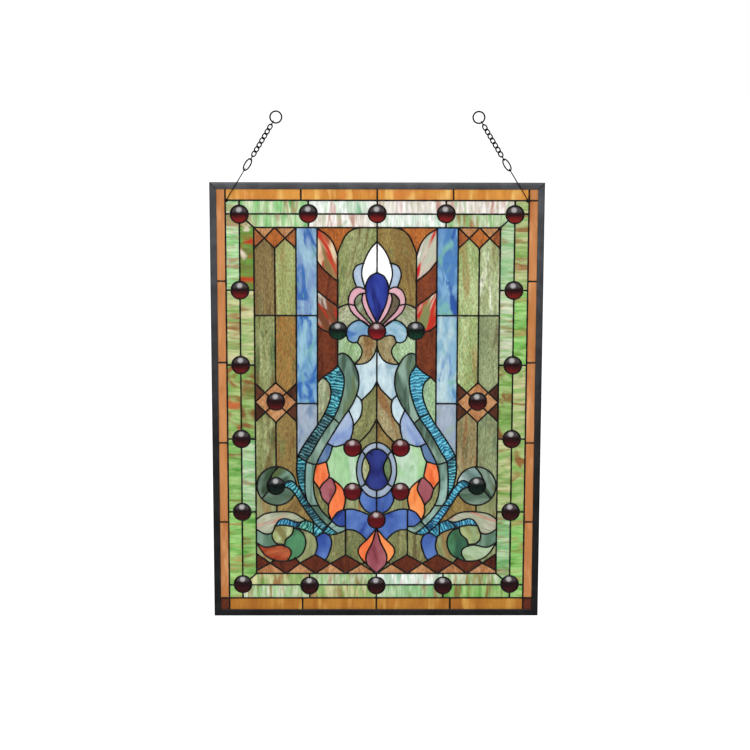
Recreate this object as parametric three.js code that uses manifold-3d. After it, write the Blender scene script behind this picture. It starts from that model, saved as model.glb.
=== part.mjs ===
// A hanging stained glass window: leaded panes and domed jewels in a metal
// channel frame, on two short chains.
//
// Millimetres, +Z up. The front faces -Y and the panel stands in the XZ plane.
// The origin is midway between the two end rings that hold the window up.
// On the panel a point is [across, down]: across from the middle line, and down
// from the frame's top edge. Seams are given for the right half and mirrored.

import * as THREE from 'three';
import { mergeVertices } from 'three/addons/utils/BufferGeometryUtils.js';
import Module from 'manifold-3d';

const wasm = await Module();
wasm.setup();

const gap = 0.3; // clearance between neighbouring solids
const touch = 0.3; // how far linked wires bite into each other

const frame = { width: 457, height: 610, face: 9.5, depth: 6.4, wall: 1.2, tuck: 6 };
const glass = { thickness: 3 };
const lead = { width: 4, rise: 1.3, heart: 1.2 };
const jewel = { radius: 11, rim: 13, rise: 4.6, sides: 8 };
const smoothing = { stepsPerSpan: 8, tolerance: 1.5 };

const border = { side: 207, top: 24.5, bottom: 584 };
const field = { side: 168.5, top: 61.5, bottom: 548.5 };
const garland = { side: 188, top: 43, bottom: 565.5 }; // middle of the green border

const hang = {
  foot: [205.5, 24.5], // where the wire is soldered to the leadwork
  lean: 31.3, // degrees from upright, inwards
  wire: 1.3,
  wireTop: 50.2, // distances along the hanging line from its foot
  clasp: { from: 46.5, length: 20, width: 9.5, wire: 2 },
  link: { length: 10.5, width: 7.2, wire: 1.9, twist: 1.1, count: 7 },
  connector: { length: 8.4, width: 5.8, wire: 1.4 },
  ring: { radius: 7.9, wire: 2.2 },
};

// Where each piece sits along the hanging line, from one wire to the next that it hooks.
const { clasp, link, connector, ring } = hang;
const linkPitch = link.length - 2 * link.wire + touch;
const hooked = connector.length / 2 - connector.wire + link.length / 2 - link.wire + touch;
const firstConnector = clasp.from + clasp.length - clasp.wire - gap - connector.wire + connector.length / 2;
const lastConnector = firstConnector + 2 * hooked + (link.count - 1) * linkPitch;
const ringAt = lastConnector + connector.length / 2 - connector.wire - gap - ring.wire / 2 + ring.radius;

const halfDepth = frame.depth / 2;
const halfGlass = glass.thickness / 2;
const leadBack = halfGlass + gap; // distance of a bead's flat side from the middle
const leadTop = leadBack + lead.rise;

const finishes = {
  patina: { color: 0x4b4a48, metalness: 0.8, roughness: 0.5 },
  solder: { color: 0x2b2a29, metalness: 0.8, roughness: 0.45 },
  blackIron: { color: 0x161616, metalness: 0.7, roughness: 0.5 },
  amber: { color: 0xd29a48, roughness: 0.2 },
  green: { color: 0xa6cf9a, roughness: 0.2 },
  olive: { color: 0x96885a, roughness: 0.3 },
  blue: { color: 0x82a5d2, roughness: 0.2 },
  mixed: { color: 0x9fae8c, roughness: 0.2 },
  darkRed: { color: 0x3a0c12, roughness: 0.1 },
  darkGreen: { color: 0x0d2a1b, roughness: 0.1 },
  red: { color: 0x8c1a1c, roughness: 0.1 },
};

const panel = new THREE.Group();
const window = new THREE.Group();
window.add(panel);

function addPart(group, name, geometry, finish) {
  const part = new THREE.Mesh(geometry, new THREE.MeshStandardMaterial(finishes[finish]));
  part.name = name;
  group.add(part);
  return part;
}

// ---- solids ----

function solidOf(geometry) {
  const bare = geometry.clone();
  bare.deleteAttribute('normal');
  bare.deleteAttribute('uv');
  const merged = mergeVertices(bare, 1e-4);
  return new wasm.Manifold(new wasm.Mesh({
    numProp: 3,
    vertProperties: merged.attributes.position.array,
    triVerts: Uint32Array.from(merged.index.array),
  }));
}

function geometryOf(solid) {
  const mesh = solid.getMesh();
  const geometry = new THREE.BufferGeometry();
  geometry.setAttribute('position', new THREE.BufferAttribute(mesh.vertProperties, 3));
  geometry.setIndex(new THREE.BufferAttribute(mesh.triVerts, 1));
  geometry.computeVertexNormals();
  return geometry;
}

const joinAll = (solids) => solids.reduce((whole, solid) => whole.add(solid));

// An outline on the panel made solid between two depths.
function slab(outline, front, back) {
  const shape = new THREE.Shape(outline.map(([across, down]) => new THREE.Vector2(across, -down)));
  const geometry = new THREE.ExtrudeGeometry(shape, { depth: back - front, bevelEnabled: false });
  geometry.rotateX(Math.PI / 2);
  geometry.translate(0, back, 0);
  return solidOf(geometry);
}

// ---- lines on the panel ----

const mirrored = (line) => line.map(([across, down]) => [-across, down]);

// Leaves out the points that a straight run between their neighbours would match.
function thinned(line, tolerance) {
  const [start, end] = [line[0], line.at(-1)];
  const length = Math.hypot(end[0] - start[0], end[1] - start[1]) || 1;
  let farthest = 0;
  let distance = 0;
  line.forEach(([across, down], i) => {
    const off = Math.abs((end[0] - start[0]) * (start[1] - down)
      - (start[0] - across) * (end[1] - start[1])) / length;
    if (off > distance) [farthest, distance] = [i, off];
  });
  if (distance < tolerance) return [start, end];
  return [...thinned(line.slice(0, farthest + 1), tolerance).slice(0, -1),
    ...thinned(line.slice(farthest), tolerance)];
}

function curve(...points) {
  const path = new THREE.CatmullRomCurve3(points.map(([across, down]) => new THREE.Vector3(across, down, 0)));
  const fine = path.getPoints(smoothing.stepsPerSpan * (points.length - 1));
  return thinned(fine.map(({ x, y }) => [x, y]), smoothing.tolerance);
}

// Part of an ellipse, from one angle to another; 0 points outwards and 90 down.
function arc([across, down], [halfWidth, halfHeight], from, to, steps) {
  return Array.from({ length: steps + 1 }, (_, i) => {
    const angle = THREE.MathUtils.degToRad(from + (to - from) * i / steps);
    return [across + halfWidth * Math.cos(angle), down + halfHeight * Math.sin(angle)];
  });
}

const loop = (centre, halves, sides) => arc(centre, halves, 0, 360, sides).slice(0, -1);

// A line drawn with the given width, with mitred bends, made solid between two depths.
function strip(line, width, front, back) {
  const directions = line.slice(1).map(([across, down], i) => {
    const [x, y] = [across - line[i][0], down - line[i][1]];
    const length = Math.hypot(x, y);
    return [x / length, y / length];
  });
  const sides = [[], []];
  line.forEach(([across, down], i) => {
    const before = directions[Math.max(i - 1, 0)];
    const after = directions[Math.min(i, directions.length - 1)];
    const [x, y] = [before[0] + after[0], before[1] + after[1]];
    const reach = width / (x * x + y * y);
    sides[0].push([across - y * reach, down + x * reach]);
    sides[1].push([across + y * reach, down - x * reach]);
  });
  return slab([...sides[0], ...sides[1].reverse()], front, back);
}

// ---- where the jewels are: [across, down, colour], one or a mirrored pair ----

const jewels = [
  ...[43.5, 147.5, 251.5, 355.5, 459.5, 564].map((down) => [garland.side, down, 'darkRed']),
  ...[0, 94].flatMap((across) => [[across, 42.5, 'darkRed'], [across, 566, 'darkRed']]),
  [140, 302.5, 'darkRed'],
  [53.5, 203.5, 'darkGreen'],
  [140.5, 422.5, 'darkGreen'],
  [0, 204, 'red'],
  [33.5, 368, 'red'],
  [33.5, 430.5, 'red'],
  [0, 471, 'red'],
];

// ---- seams ----

// The seams that part one sheet of glass from the next; the lead runs through them.
const scroll = { centre: [139.5, 422.5], halves: [27.5, 27.5] };
const sheetSeams = [
  [[border.side, frame.face - frame.tuck], [border.side, frame.height - frame.face + frame.tuck]],
  [[0, border.top], [border.side, border.top]],
  [[0, border.bottom], [border.side, border.bottom]],
  [[field.side, border.top], [field.side, border.bottom]],
  [[0, field.top], [field.side, field.top]],
  [[0, field.bottom], [field.side, field.bottom]],
  [[111, field.top], [111, 402], ...arc(scroll.centre, scroll.halves, 180, 360, 6), [field.side, 422.5]],
  [[82, field.top], [82, 305.5], [111, 305.5]],
];

// Straight leads of the two borders.
const borderLeads = [
  ...[0, 104].flatMap((across) => [[[across, 6], [across, border.top]], [[across, border.bottom], [across, 604]]]),
  ...[135, 248, 361, 474].map((down) => [[border.side, down], [223, down]]),
  [[0, garland.top], [garland.side, garland.top], [garland.side, garland.bottom], [0, garland.bottom]],
  ...[[garland.top, field.top], [garland.bottom, field.bottom]].map(([outer, inner]) => (
    [[garland.side, outer], [field.side, inner]])),
];

const fieldLeads = [
  [[140, 90], [140, 293]],
  [[54, 98], [54, 251]],
  [[82, 182.5], [field.side, 182.5]],
  [[111, 90], [126, 76], [140, 90], [154, 76], [field.side, 90]],
  [[0, 50], [0, 82]],
  [[0, 213], [0, 361]],
  [[0, 439], [0, 460]],
];

// The diamond round the jewel half way down each side.
const diamond = { centre: [140, 303.5], halves: [27.8, 27.8] };
const diamondLeads = [arc(diamond.centre, diamond.halves, -90, 270, 4)];

// The zigzag along the foot of the field.
const zigzag = { pitch: 42.6, first: 43, top: 521, waist: 534.5, peaks: 3 };
const zigzagLeads = [Array.from({ length: 2 * zigzag.peaks + 1 }, (_, i) => (
  [zigzag.first + (i - 1) * zigzag.pitch / 2, i % 2 ? zigzag.top : zigzag.waist]))];

// The drawn leads, motif by motif.
const motifs = {
  arch: [
    curve([54.5, 98], [50, 86], [43, 72], [34, 64.5], [24, 61.5]),
  ],
  twistedColumn: [
    curve([82, 107.5], [73, 119], [54, 135]),
    curve([82, 148.5], [70, 158], [54, 170]),
    curve([82, 276], [74, 268], [54, 252]),
  ],
  heart: [
    curve([0, 328], [10, 345], [27, 362]),
  ],
  fleur: [
    curve([0, 80.5], [10, 92], [18.5, 110], [21, 126], [17.5, 143]),
    curve([0, 123], [10, 129], [15.8, 143], [13, 164], [0, 193]),
    curve([16, 146], [26, 143], [35.5, 149], [39.5, 163], [35, 177], [24, 187.5], [9, 199]),
  ],
  jewelPetals: [
    curve([44, 205], [36, 194], [26, 189], [8, 200]),
  ],
  band: [
    curve([54.5, 237.5], [47, 234.8], [38, 240], [31, 250], [25.5, 265], [25.5, 284], [33, 305],
      [47, 326], [62, 350], [77, 376], [85, 395], [88, 415], [86, 438], [77, 457], [63, 472], [43.5, 480.5]),
    curve([54, 252], [45.5, 268], [47.5, 292], [58, 322.5], [75, 348], [90, 374.5], [98.5, 391],
      [100, 425], [98, 442]),
    curve([74, 269], [65, 279], [64.5, 299], [76, 326], [97, 357.5], [111, 385]),
  ],
  tail: [
    curve([129, 417.5], [119.5, 414.8], [109, 424], [97, 444], [82, 465], [56, 489.5]),
    curve([129, 423.5], [118, 429], [103, 452], [88, 474], [75, 486], [56, 491], [43, 485.5]),
  ],
  scroll: [
    arc(scroll.centre, scroll.halves, 0, 150, 5),
  ],
  flames: [
    curve([70, 388], [67, 401], [61, 413], [48, 425], [43.5, 440], [46, 456]),
  ],
  oval: [
    arc([0, 400], [28, 39.5], -90, 90, 7),
  ],
  wings: [
    curve([46, 457], [34, 455.6], [10, 464]),
  ],
  tulip: [
    curve([4, 486], [15, 500.5], [24, 511], [24, 523], [11, 538], [0, 548.5]),
  ],
  leaf: [
    curve([field.side, 470], [155, 462], [135, 459.3], [116, 461], [98, 472]),
  ],
  roundel: [
    curve([82, 495], [108, 483.5], [128, 478.7], [140, 479.5]),
    curve([116, 482], [104, 489], [99.2, 504], [106, 521.5], [124, 530], [144, 529], [158, 520], [168, 505]),
  ],
};

const bothSides = (lines) => lines.flatMap((line) => [line, mirrored(line)]);

// ---- frame: four mitred lengths of U-shaped channel ----

function channel(length) {
  const { face, depth, wall } = frame;
  const profile = new THREE.Shape([
    [-depth / 2, 0], [depth / 2, 0], [depth / 2, face], [depth / 2 - wall, face],
    [depth / 2 - wall, wall], [wall - depth / 2, wall], [wall - depth / 2, face], [-depth / 2, face],
  ].map(([x, y]) => new THREE.Vector2(x, y)));
  const geometry = new THREE.ExtrudeGeometry(profile, { depth: length, bevelEnabled: false });
  geometry.translate(0, 0, -length / 2);
  const { position } = geometry.attributes;
  for (let i = 0; i < position.count; i += 1) {
    const mitred = length / 2 - gap / 2 - position.getY(i);
    position.setZ(i, Math.sign(position.getZ(i)) * mitred);
  }
  // Open side up, with the length along X.
  geometry.rotateY(Math.PI / 2);
  geometry.rotateX(Math.PI / 2);
  geometry.computeVertexNormals();
  return geometry;
}

const bars = [
  ['frame_bottom', frame.width, [0, -frame.height], 0],
  ['frame_top', frame.width, [0, 0], Math.PI],
  ['frame_left', frame.height, [-frame.width / 2, -frame.height / 2], Math.PI / 2],
  ['frame_right', frame.height, [frame.width / 2, -frame.height / 2], -Math.PI / 2],
];
for (const [name, length, [x, z], turn] of bars) {
  const bar = addPart(panel, name, channel(length), 'patina');
  bar.position.set(x, 0, z);
  bar.rotation.y = turn;
}

// ---- leadwork: beads on the front, and through and behind the sheet seams ----

const sheetLines = bothSides(sheetSeams);
const drawnLines = bothSides([...borderLeads, ...fieldLeads, ...diamondLeads, ...zigzagLeads,
  ...Object.values(motifs).flat()]);

const jewelPlaces = jewels.flatMap(([across, down, colour]) => (
  across === 0 ? [[0, down, colour]] : [[-across, down, colour], [across, down, colour]]));
const jewelHole = (across, down) => loop([across, down], [jewel.radius + gap, jewel.radius + gap], jewel.sides);

const beads = (lines, width, front, back) => joinAll(lines.map((line) => strip(line, width, front, back)));

function leadwork() {
  const opening = frame.width / 2 - frame.face - gap;
  const inside = [[-opening, frame.face + gap], [opening, frame.face + gap],
    [opening, frame.height - frame.face - gap], [-opening, frame.height - frame.face - gap]];
  const rims = jewelPlaces.map(([across, down]) => (
    slab(loop([across, down], [jewel.rim, jewel.rim], jewel.sides), -leadTop, -leadBack)));
  const front = beads([...sheetLines, ...drawnLines], lead.width, -leadTop, -leadBack).add(joinAll(rims));
  const heart = beads(sheetLines, lead.heart, -leadTop + gap, halfGlass);
  const bores = jewelPlaces.map(([across, down]) => slab(jewelHole(across, down), -leadTop - 1, leadTop + 1));
  return front.add(heart)
    .intersect(slab(inside, -leadTop - 1, leadTop + 1))
    .subtract(joinAll(bores));
}
addPart(panel, 'leadwork', geometryOf(leadwork()), 'solder');

// ---- glass: one pane of the whole opening, cut along the sheet seams ----

// Each sheet takes its name from a point that lies in it.
const sheets = [
  ['amber_border_top', [0, 15], 'amber'],
  ['amber_border_bottom', [0, 590], 'amber'],
  ['amber_border_left', [-215, 300], 'amber'],
  ['amber_border_right', [215, 300], 'amber'],
  ['green_border_top', [60, 50], 'green'],
  ['green_border_bottom', [60, 575], 'green'],
  ['green_border_left', [-180, 300], 'green'],
  ['green_border_right', [180, 300], 'green'],
  ['side_glass_left', [-150, 240], 'olive'],
  ['side_glass_right', [150, 240], 'olive'],
  ['column_glass_left', [-100, 240], 'blue'],
  ['column_glass_right', [100, 240], 'blue'],
  ['centre_glass', [60, 400], 'mixed'],
];

function glassSheets() {
  const across = frame.width / 2 - frame.face + frame.tuck;
  const down = [frame.face - frame.tuck, frame.height - frame.face + frame.tuck];
  const whole = slab([[-across, down[0]], [across, down[0]], [across, down[1]], [-across, down[1]]],
    -halfGlass, halfGlass);
  const saw = beads(sheetLines, lead.heart + 2 * gap, -halfGlass - 1, halfGlass + 1);
  const bores = jewelPlaces.map(([x, y]) => slab(jewelHole(x, y), -halfGlass - 1, halfGlass + 1));
  return whole.subtract(saw).subtract(joinAll(bores)).decompose();
}

const cutSheets = glassSheets();
for (const [name, [across, down], finish] of sheets) {
  const probe = solidOf(new THREE.BoxGeometry(0.2, 0.2, 0.2).translate(across, 0, -down));
  const sheet = cutSheets.find((piece) => !piece.intersect(probe).isEmpty());
  addPart(panel, name, geometryOf(sheet), finish);
}

// ---- jewels: a flat back and a domed front ----

function jewelSolid() {
  const { radius, rise } = jewel;
  const profile = [[0, halfGlass], [radius, halfGlass], [radius * 0.85, -halfGlass - rise * 0.45],
    [0, -halfGlass - rise]];
  const geometry = new THREE.LatheGeometry(profile.map(([r, y]) => new THREE.Vector2(r, -y)), jewel.sides);
  geometry.rotateX(Math.PI);
  return geometry;
}

const counts = { darkRed: 0, darkGreen: 0, red: 0 };
for (const [across, down, colour] of jewelPlaces) {
  counts[colour] += 1;
  const stone = addPart(panel, `jewel_${colour.toLowerCase()}_${counts[colour]}`, jewelSolid(), colour);
  stone.position.set(across, 0, -down);
}

// ---- hanging gear, on a line that leans inwards from each top corner ----

const facing = { front: new THREE.Vector3(0, 1, 0), side: new THREE.Vector3(1, 0, 0) };

// A wire through the given points, bent about one normal, closed on itself or with flat ends.
function wireThrough(points, thickness, sides, normal, closed) {
  const count = points.length;
  const positions = points.flatMap((point, i) => {
    const before = points[closed ? (i + count - 1) % count : Math.max(i - 1, 0)];
    const after = points[closed ? (i + 1) % count : Math.min(i + 1, count - 1)];
    const inward = normal.clone().cross(after.clone().sub(before)).normalize();
    return loop([0, 0], [thickness / 2, thickness / 2], sides).flatMap(([x, y]) => (
      point.clone().addScaledVector(inward, x).addScaledVector(normal, y).toArray()));
  });
  const triangles = [];
  for (let i = 0; i < (closed ? count : count - 1); i += 1) {
    for (let j = 0; j < sides; j += 1) {
      const [a, b] = [i * sides + j, i * sides + (j + 1) % sides];
      const [c, d] = [a, b].map((corner) => (corner + sides) % (count * sides));
      triangles.push(a, b, c, b, d, c);
    }
  }
  for (let j = 2; j < sides && !closed; j += 1) {
    const last = (count - 1) * sides;
    triangles.push(0, j, j - 1, last, last + j - 1, last + j);
  }
  const geometry = new THREE.BufferGeometry();
  geometry.setAttribute('position', new THREE.Float32BufferAttribute(positions, 3));
  geometry.setIndex(triangles);
  geometry.computeVertexNormals();
  return geometry;
}

// Local axes here: X across the line in the panel's plane, Y towards the back, Z up the line.
function ovalWire({ length, width, wire }, at, facingWay, steps = 10) {
  const points = loop([0, at], [(width - wire) / 2, (length - wire) / 2], steps).map(([side, along]) => (
    facingWay === 'front' ? new THREE.Vector3(side, 0, along) : new THREE.Vector3(0, side, along)));
  return wireThrough(points, wire, 4, facing[facingWay], true);
}

function curbLink(at) {
  const { length, width, wire, twist } = link;
  const steps = 6;
  const points = Array.from({ length: steps }, (_, i) => {
    const angle = (i / steps + 0.25) * Math.PI * 2;
    return new THREE.Vector3((width - wire) / 2 * Math.cos(angle), twist * Math.sin(2 * angle),
      at + (length - wire) / 2 * Math.sin(angle));
  });
  return wireThrough(points, wire, 3, facing.front, true);
}

// From the front of the leadwork over the frame, through the clasp and down behind.
function wireLoop() {
  const { wire, wireTop } = hang;
  const stand = halfDepth + gap + wire / 2;
  const half = [[stand, 0], [stand, 32], [2.4, wireTop - 2], [1.4, wireTop - 0.5]];
  const points = [...half.map(([y, z]) => [-y, z]), [0, wireTop], ...half.reverse()];
  return wireThrough(points.map(([y, z]) => new THREE.Vector3(0, y, z)), wire, 4, facing.side, false);
}

function chainSolid() {
  const links = Array.from({ length: link.count }, (_, i) => curbLink(firstConnector + hooked + i * linkPitch));
  const ends = [firstConnector, lastConnector].map((at) => ovalWire(connector, at, 'side'));
  return joinAll([...links, ...ends].map(solidOf));
}

for (const [side, hand] of [['left', -1], ['right', 1]]) {
  const line = new THREE.Group();
  line.position.set(hand * hang.foot[0], 0, -hang.foot[1]);
  line.rotation.y = THREE.MathUtils.degToRad(-hand * hang.lean);
  panel.add(line);
  addPart(line, `wire_loop_${side}`, wireLoop(), 'blackIron');
  addPart(line, `clasp_${side}`, ovalWire(clasp, clasp.from + clasp.length / 2, 'front'), 'blackIron');
  addPart(line, `chain_${side}`, geometryOf(chainSolid()), 'blackIron');
  const across = 2 * ring.radius + ring.wire;
  const endRing = ovalWire({ length: across, width: across, wire: ring.wire }, ringAt, 'front', 12);
  addPart(line, `end_ring_${side}`, endRing, 'blackIron');
}

// The panel hangs below the rings, whose centres share the origin's height.
panel.position.z = hang.foot[1] - ringAt * Math.cos(THREE.MathUtils.degToRad(hang.lean));

export default window;
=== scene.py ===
import math
import random

import bpy
from mathutils import Matrix, Vector, noise
from mathutils.geometry import delaunay_2d_cdt, interpolate_bezier, intersect_line_line_2d


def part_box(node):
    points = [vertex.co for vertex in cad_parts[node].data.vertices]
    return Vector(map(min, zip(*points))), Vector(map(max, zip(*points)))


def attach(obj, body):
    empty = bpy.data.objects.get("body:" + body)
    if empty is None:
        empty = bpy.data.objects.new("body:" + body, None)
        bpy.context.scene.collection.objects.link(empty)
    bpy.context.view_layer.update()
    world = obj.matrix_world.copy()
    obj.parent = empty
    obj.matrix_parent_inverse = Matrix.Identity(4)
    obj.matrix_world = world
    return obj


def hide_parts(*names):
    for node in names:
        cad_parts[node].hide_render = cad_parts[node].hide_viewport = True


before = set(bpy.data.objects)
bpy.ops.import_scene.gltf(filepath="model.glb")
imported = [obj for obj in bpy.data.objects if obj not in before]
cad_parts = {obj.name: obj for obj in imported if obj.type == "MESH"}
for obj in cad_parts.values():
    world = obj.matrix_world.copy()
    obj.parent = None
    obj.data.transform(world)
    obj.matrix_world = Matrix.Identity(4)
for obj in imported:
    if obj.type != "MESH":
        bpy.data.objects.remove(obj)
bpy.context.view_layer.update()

mm = 0.001

# the panel's own places: (across, down) in mm, across from the middle line and down from the frame's top edge
panel = {
    "top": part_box("frame_top")[1].z,
    "halfWidth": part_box("frame_right")[1].x / mm,
    "height": (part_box("frame_top")[1].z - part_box("frame_bottom")[0].z) / mm,
    "face": 9.5,
    "tuck": 6.0,  # how far the glass reaches under the channel
}


def place(across, down, depth=0.0):
    return Vector((across * mm, depth * mm, panel["top"] - down * mm))


# the drawing, given for the right half and mirrored
border = {"side": 207.0, "top": 24.5, "bottom": 584.0}
field = {"side": 168.5, "top": 61.5, "bottom": 548.5}
garland = {"side": 188.0, "top": 43.0, "bottom": 565.0}

jewelPlaces = {
    "garnet": [(188, 43.5), (188, 147.5), (188, 251.5), (188, 355.5), (188, 459.5), (188, 564),
               (0, 42.5), (94, 42.5), (0, 566), (94, 566), (140, 302.5)],
    "darkGreen": [(53.5, 203.5), (140.5, 422.5)],
    "red": [(0, 204), (33.5, 368), (33.5, 430.5), (0, 471)],
}
# radii: the stone, its lead ring, the hole cut for it and what counts as inside; the stone's heights; and
# how close together a ring's points are
jewelSize = {"glass": 11.4, "rim": 12.2, "cut": 11.8, "inside": 11.7, "rise": 4.6, "back": 1.5, "step": 1.6}

outerEdge = {"side": panel["halfWidth"] - panel["face"] + panel["tuck"],
             "top": panel["face"] - panel["tuck"],
             "bottom": panel["height"] - panel["face"] + panel["tuck"]}

straightLeads = [
    [(border["side"], outerEdge["top"]), (border["side"], outerEdge["bottom"])],
    [(0, border["top"]), (border["side"], border["top"])],
    [(0, border["bottom"]), (outerEdge["side"], border["bottom"])],
    [(field["side"], field["top"]), (field["side"], field["bottom"])],
    [(0, field["top"]), (field["side"], field["top"])],
    [(0, field["bottom"]), (field["side"], field["bottom"])],
    [(garland["side"], border["top"]), (garland["side"], border["bottom"])],
    [(0, garland["top"]), (border["side"], garland["top"])],
    [(0, garland["bottom"]), (border["side"], garland["bottom"])],
    [(garland["side"], garland["top"]), (field["side"], field["top"])],
    [(garland["side"], garland["bottom"]), (field["side"], field["bottom"])],
    [(94, border["top"]), (94, field["top"])],
    [(94, field["bottom"]), (94, border["bottom"])],
    [(0, outerEdge["top"]), (0, 123)],
    [(0, 190), (0, 369.5)],
    [(0, 428.5), (0, 486)],
    [(0, field["bottom"]), (0, outerEdge["bottom"])],
    [(104, outerEdge["top"]), (104, border["top"])],
    [(104, border["bottom"]), (104, outerEdge["bottom"])],
    [(140, 90), (140, 276)],
    [(140, 332), (140, 396)],
    [(139.5, 449.5), (139.5, 460)],
    [(111, field["top"]), (111, 393)],
    [(82, field["top"]), (82, 336)],
    [(54, 97), (54, 252)],
    [(82, 182.5), (field["side"], 182.5)],
    [(82, 305.5), (111, 305.5)],
    [(43.5, 456), (43.5, 522)],
    [(111, 90), (126, 76), (140, field["top"]), (154, 76), (field["side"], 90)],
    [(111, field["top"]), (126, 76), (140, 90), (154, 76), (field["side"], field["top"])],
    [(140, 276), (field["side"], 303.5), (140, 332), (111, 303.5), (140, 276)],
    [(111, 277), (field["side"], 331)],
    [(111, 331), (field["side"], 277)],
    [(0, 549), (21.5, 534.5), (43, 521.5), (64.5, 534), (86, 521), (107.5, 533.5), (127, 548.5), (149, 533.5),
     (field["side"], 520)],
    [(21.5, 534.5), (43, 548.5), (64.5, 534), (85.5, 548.5), (107.5, 533.5), (115, 525)],
    [(149, 533.5), (143.5, 528)],
    [(149, 533.5), (field["side"], 544)],
    [(20.6, 536), (16, 531)],
    [(166, 422.5), (field["side"], 422.5)],
]
for down in (135, 248, 361, 474):
    straightLeads.append([(border["side"], down), (outerEdge["side"], down)])
for down in (147.5, 251.5, 355.5, 459.5):
    straightLeads.append([(field["side"], down), (border["side"], down)])
rightOnlyLeads = [[(border["side"], border["top"]), (outerEdge["side"], border["top"])]]

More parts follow.
